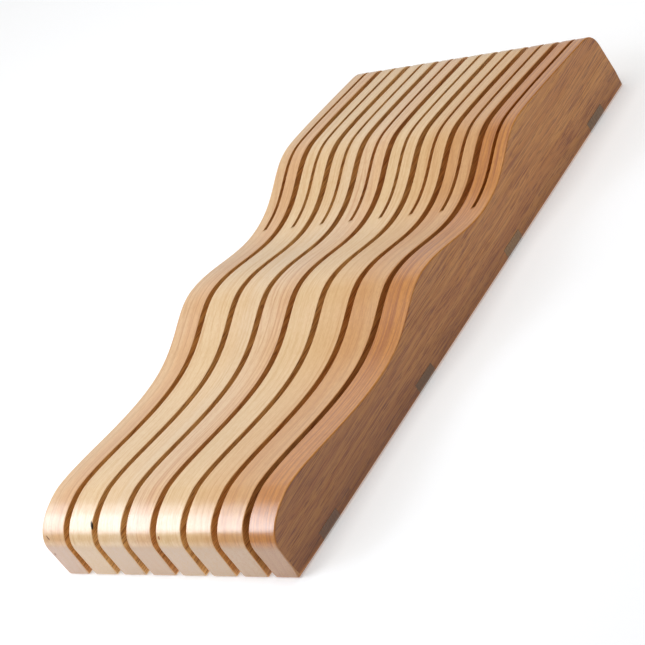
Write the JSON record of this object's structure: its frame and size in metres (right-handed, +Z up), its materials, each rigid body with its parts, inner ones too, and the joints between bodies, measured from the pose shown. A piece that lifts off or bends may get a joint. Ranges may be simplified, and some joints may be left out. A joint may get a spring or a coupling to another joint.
{
  "type": "in-drawer knife organiser",
  "caption": "Low waved wooden knife organiser for a drawer: slats on cross rails, with full-length blade slots between the slats and saw kerfs in their rear halves.",
  "frame": {"origin": "under the middle of the block, on the plane it rests on", "axes": "+X across the slats, +Y along the slats from the low nose to the tall rear end, +Z up"},
  "size_m": [0.2108, 0.44, 0.0566],
  "materials": {
    "warm_slat": "satin lacquer",
    "pale_slat": "satin lacquer",
    "pink_slat": "satin lacquer",
    "brown_slat": "satin lacquer",
    "rail": "satin lacquer"
  },
  "bodies": {
    "root": {"slat_1": "warm_slat", "slat_2": "pale_slat", "slat_3": "pale_slat", "slat_4": "pink_slat", "slat_5": "pale_slat", "slat_6": "pale_slat", "slat_7": "warm_slat", "slat_8": "brown_slat", "cross_rail_1": "rail", "cross_rail_2": "rail", "cross_rail_3": "rail", "cross_rail_4": "rail"}
  },
  "joints": []
}
